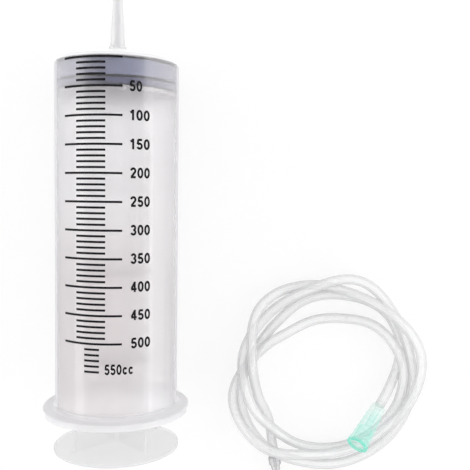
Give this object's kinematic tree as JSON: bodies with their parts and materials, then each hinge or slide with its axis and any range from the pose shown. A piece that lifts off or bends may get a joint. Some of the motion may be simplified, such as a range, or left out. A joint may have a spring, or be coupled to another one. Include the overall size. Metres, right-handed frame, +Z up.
{
  "type": "tube syringe",
  "caption": "Large translucent graduated tube syringe lying on its side, plunger pushed home, with a loose coiled clear hose, green funnel connector and ribbed tip.",
  "frame": {"origin": "on the table, below the middle of the syringe's bounding box, cord nodes left out", "axes": "+Y along the lying syringe towards its nozzle, +Z up from the table, +X towards the coiled hose"},
  "size_m": [0.2317, 0.2988, 0.0824],
  "materials": {
    "milky_plastic": "smooth, milky, lets dark things behind it show softly",
    "black_ink": "printed",
    "grey_rubber": "matt, blue-grey",
    "white_plastic": "smooth, milky white",
    "clear_hose": "clear, glossy and soft",
    "green_plastic": "mint green, a little clear",
    "clear_plastic": "clear, glossy"
  },
  "bodies": {
    "barrel": {"barrel": "milky_plastic", "scale_print": "black_ink", "hose": "clear_hose", "hose_connector": "green_plastic", "hose_tip": "clear_plastic"},
    "seal": {"plunger_seal": "grey_rubber"},
    "rod": {"plunger_rod": "white_plastic"}
  },
  "joints": [
    {"name": "seal_slide", "type": "slide", "parent": "barrel", "child": "seal", "axis": [0, -0.9993, 0.0362], "range_m": [0, 0.163]},
    {"name": "rod_turn", "type": "hinge", "parent": "seal", "child": "rod", "pos_m": [0, -0.01339, 0.03791], "axis": [0, -0.9993, 0.0362], "continuous": true}
  ]
}
